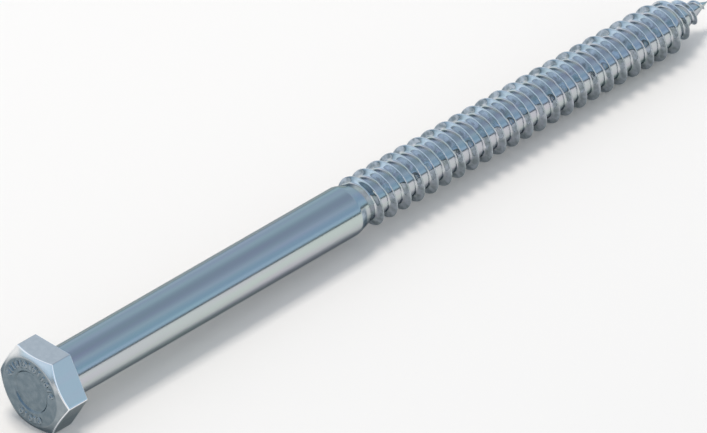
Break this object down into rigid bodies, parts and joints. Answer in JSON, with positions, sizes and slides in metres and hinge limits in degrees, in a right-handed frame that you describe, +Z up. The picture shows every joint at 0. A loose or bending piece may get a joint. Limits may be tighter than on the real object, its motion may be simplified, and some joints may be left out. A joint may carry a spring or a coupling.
{
  "type": "hex lag bolt",
  "caption": "Long hex-headed lag bolt with a plain shank, a coarse right-hand wood thread and a gimlet point, for fixing heavy timber.",
  "frame": {"origin": "on the supporting surface, under the middle of the bolt as it lies at rest", "axes": "+X along the bolt from its head to its point, +Z up from the surface that it lies on, +Y towards a corner of its head"},
  "size_m": [0.2106, 0.0216, 0.0188],
  "materials": {
    "zinc_plated_steel": "bright zinc plating with a faint blue cast over smooth cold-formed steel"
  },
  "bodies": {
    "root": {"lag_bolt": "zinc_plated_steel"}
  },
  "joints": []
}
